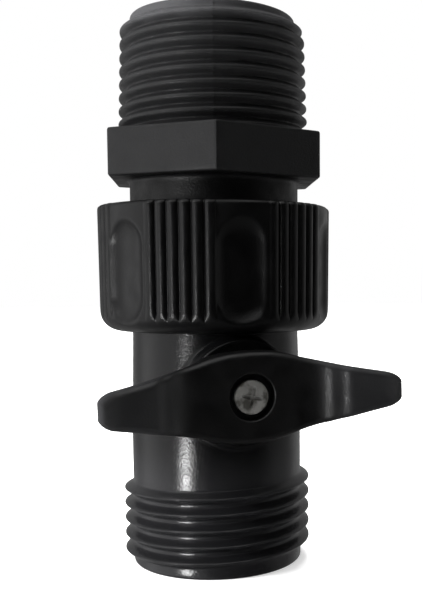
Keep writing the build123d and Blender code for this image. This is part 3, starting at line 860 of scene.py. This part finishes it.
def paint_light_along_axis(material, *steps):
    """Painted light and shade: scale the color along Z; each step is (z start, z end, gain at start,
    gain at end).
    """
    tree = material.node_tree
    wobble = 0.0015
    place = object_place(tree)
    height = add_node(tree, "SeparateXYZ", {0: place}, "Z")
    uneven = noise(tree, place, scale=180, detail=5)
    distance = math_node(tree, "MULTIPLY_ADD", uneven, wobble, height)
    for start, end, *gains in steps:
        # painted light and shade: colour scaled by height
        scale_color(tree, wobbled_gain(tree, distance, wobble, start, end, gains))


body_black = plastic("body_black", color=(0.0012, 0.0012, 0.0013), roughness=0.19, grain=0.46,
                     grain_scale=3700, ripple=0.04, scuff=0.07)
nut_black = plastic("nut_black", color=(0.0008, 0.0008, 0.0009), roughness=0.33)
lever_black = plastic("lever_black", color=(0.0010, 0.0010, 0.0011), roughness=0.39,
                      specular=0.85, grain=0.40, grain_scale=2900, ripple=0.10)
charcoal = plastic("adapter_charcoal", color=(0.0036, 0.0036, 0.0038), roughness=0.42, grain=0.6,
                   mottling=0.25, ripple=0.12)
inner_dark = plastic("inner_dark", color=(0.02, 0.02, 0.021), roughness=0.40)
ball_pale = plastic("ball_pale", color=(0.50, 0.50, 0.48), roughness=0.22, grain=0.05,
                    mottling=0.08)
seat_white = plastic("seat_white", color=(0.72, 0.72, 0.70), roughness=0.38, grain=0.08,
                     mottling=0.06)
rubber = plastic("seal_rubber", color=(0.012, 0.012, 0.012), roughness=0.62, grain=0.3)
spring_steel = metal("spring_steel", color=(0.42, 0.42, 0.42), roughness=0.32)
worn_zinc = metal("screw_worn_zinc", color=(0.15, 0.148, 0.140), roughness=0.46, scale=620,
                  metallic=0.5)

# painted light: the wings coloured up to 7.5 times paler than the hub, from 7 to 14.5 mm out
paint_wing_light_and_matt_tips(lever_black, start=7.0, end=14.5, gain=7.5)
# painted light: the lower body and its thread coloured up to 5.5 times paler towards the bottom, the
# pilot a little paler still
paint_light_along_axis(body_black, (12.0, 19.0, 5.5, 1.0), (0.8, 3.0, 1.1, 1.0))
# painted shade: everything below the hex, the neck between nut and hex included, at a fifth of the
# colour; painted light: the pipe thread paler upwards to twice, and the top 3.6 times more again
paint_light_along_axis(charcoal, (53.9, 54.6, 0.2, 1.0), (60.8, 75.0, 1.0, 2.0), (74.4, 75.6, 1.0, 3.6))

CAD_MATERIALS = {
    "valve_body": body_black, "seat_retainer": inner_dark, "seat_upper": seat_white,
    "seat_lower": seat_white, "seat_o_ring_upper": rubber, "seat_o_ring_lower": rubber,
    "nut_retaining_ring": spring_steel, "valve_ball": ball_pale, "valve_stem": inner_dark,
    "stem_o_ring_inner": rubber, "stem_o_ring_outer": rubber, "stem_thrust_washer": seat_white,
    "lever_handle": lever_black, "lever_screw": worn_zinc, "swivel_nut": nut_black,
    "hose_washer": rubber, "adapter_nipple": charcoal}
for piece, cad_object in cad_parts.items():
    cad_object.data.materials.clear()
    cad_object.data.materials.append(CAD_MATERIALS[piece])

# builder, part it rides on, CAD piece it replaces, material slot
for build, part, piece, slot in (
        (build_adapter, "adapter", "adapter_nipple", "adapter_plastic"),
        (build_body, "body", "valve_body", "body_plastic"),
        (build_nut, "nut", "swivel_nut", "nut_plastic"),
        (build_lever, "lever", "lever_handle", "lever_plastic"),
        (build_screw, "lever", "lever_screw", "screw_steel")):
    shell = build()
    shell.data.materials.append(CAD_MATERIALS[piece])
    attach(shell, part)
    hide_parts(piece)


# ---------------------------------------------------------------- floor
def build_floor():
    """Pale, faintly glowing floor, just below z = 0."""
    half, z = 1200, -0.02
    floor = new_object("floor", [(-half, -half, z), (half, -half, z), (half, half, z),
                                 (-half, half, z)], [(0, 1, 2, 3)])
    material = bpy.data.materials.new("pale_floor")
    tree, surface = empty_tree(material)
    gray = map_range(tree, noise(tree, object_place(tree), scale=30.0), target=(0.90, 0.94))
    shader = add_node(tree, "BsdfPrincipled", {
        "Base Color": add_node(tree, "CombineColor", {0: gray, 1: gray, 2: gray}),
        "Roughness": 0.9, "Emission Color": (1, 1, 1, 1), "Emission Strength": 0.55})
    tree.links.new(shader, surface)
    floor.data.materials.append(material)
    floor.visible_glossy = False


build_floor()

# ---------------------------------------------------------------- world
CAMERA_AZIMUTH = -15.3              # turn of the camera round +Z; at 0 it looks along +Y
WHITE = (1, 1, 1, 1)
AMBIENT = 0.010
# Round lights: azimuth (0 on the camera's side, + to its right), elevation, then the angles from
# the centre where the light is full and where it is gone, then its power.
SOFT_PATCHES = [
    (-165, 0, 46, 92, 0.25),        # pale room behind
    (-78, 2, 18, 54, 0.70),         # window side
    (110, 3, 20, 54, 0.20),         # weak return from the other side
    (-20, 74, 16, 52, 0.70),        # ceiling
    (0, -90, 56, 74, 0.06),         # pale table top
    (-34, -24, 6.0, 24.0, 0.5),     # halo round the low lamp
    (-56, 40, 5.0, 15.0, 2.0),      # small high window
    (-43, -14.0, 2.5, 7.6, 37.0),   # low lamp that draws the narrow highlights
    (-43, -6, 2.0, 7.0, 2.2)]       # dimmer patch just above it


def look_direction(azimuth, elevation):
    a, e = math.radians(azimuth + CAMERA_AZIMUTH), math.radians(elevation)
    return (math.sin(a) * math.cos(e), -math.cos(a) * math.cos(e), math.sin(e))


def build_world():
    """Soft patches light the scene, while the camera sees plain white."""
    world = bpy.data.worlds.new("studio")
    bpy.context.scene.world = world
    tree, surface = empty_tree(world)
    looked_along = add_node(tree, "TexCoord", {}, "Generated")
    total = AMBIENT
    for azimuth, elevation, full, gone, power in SOFT_PATCHES:
        cosine = add_node(tree, "VectorMath",
                          {0: looked_along, 1: look_direction(azimuth, elevation)},
                          "Value", operation="DOT_PRODUCT")
        patch = map_range(tree, cosine, (math.cos(math.radians(gone)),
                                         math.cos(math.radians(full))), (0, power), smooth=True)
        total = math_node(tree, "ADD", patch, total)
    seen = add_node(tree, "LightPath", {}, "Is Camera Ray")
    studio = add_node(tree, "Background", {"Strength": total, "Color": WHITE})
    backdrop = add_node(tree, "Background", {"Strength": 1.0, "Color": WHITE})
    tree.links.new(add_node(tree, "MixShader", {0: seen, 1: studio, 2: backdrop}), surface)


build_world()


# ---------------------------------------------------------------- lamps (metres and watts)
def add_lamp(name, size, energy, location, target):
    """Disk lamp aimed at the target, unseen by the camera and in reflections."""
    light = bpy.data.lights.new(name, "AREA")
    light.shape = "DISK"
    light.size = size
    light.energy = energy
    lamp = bpy.data.objects.new(name, light)
    bpy.context.scene.collection.objects.link(lamp)
    lamp.location = location
    lamp.rotation_euler = (Vector(target) - Vector(location)).to_track_quat("-Z", "Y").to_euler()
    lamp.visible_camera = False
    lamp.visible_glossy = False


add_lamp("floor_wash", size=0.5, energy=9.0, location=(0.05, 0.28, 0.65), target=(0.0, 0.18, 0.0))
# far round to the camera's left, to fill the left-hand faces
add_lamp("left_fill", size=0.35, energy=40.0, target=(0, 0, 0.04),
         location=Vector(look_direction(-76, 3)) * 0.8 + Vector((0, 0, 0.04)))

# ---------------------------------------------------------------- camera
CAMERA_DISTANCE, CAMERA_HEIGHT = 135.35, 40.985
CAMERA_YAW, CAMERA_PITCH, CAMERA_ROLL = 0.1082, -0.0885, -0.0016    # radians


def camera_axes():
    """Right, up and forward before the turn to the camera's azimuth."""
    cos_yaw, sin_yaw = math.cos(CAMERA_YAW), math.sin(CAMERA_YAW)
    cos_pitch, sin_pitch = math.cos(CAMERA_PITCH), math.sin(CAMERA_PITCH)
    cos_roll, sin_roll = math.cos(CAMERA_ROLL), math.sin(CAMERA_ROLL)
    forward = Vector((sin_yaw * cos_pitch, cos_yaw * cos_pitch, sin_pitch))
    level = Vector((cos_yaw, -sin_yaw, 0))
    upright = level.cross(forward)
    return (cos_roll * level + sin_roll * upright, -sin_roll * level + cos_roll * upright,
            forward)


def build_camera():
    spin = Matrix.Rotation(math.radians(CAMERA_AZIMUTH), 3, "Z")
    right, up, forward = [spin @ axis for axis in camera_axes()]
    place = spin @ Vector((0, -CAMERA_DISTANCE, CAMERA_HEIGHT)) * MM
    lens = bpy.data.cameras.new("camera")
    camera = bpy.data.objects.new("camera", lens)
    bpy.context.scene.collection.objects.link(camera)
    camera.matrix_world = Matrix((*zip(right, up, -forward, place), (0, 0, 0, 1)))
    lens.sensor_fit = "AUTO"
    lens.sensor_width = 36.0
    lens.lens = 56.183716
    lens.shift_x = -0.17707770
    lens.shift_y = 0.10777027
    lens.clip_start, lens.clip_end = 0.005, 10
    bpy.context.scene.camera = camera


build_camera()
bpy.context.scene.view_settings.view_transform = "Standard"
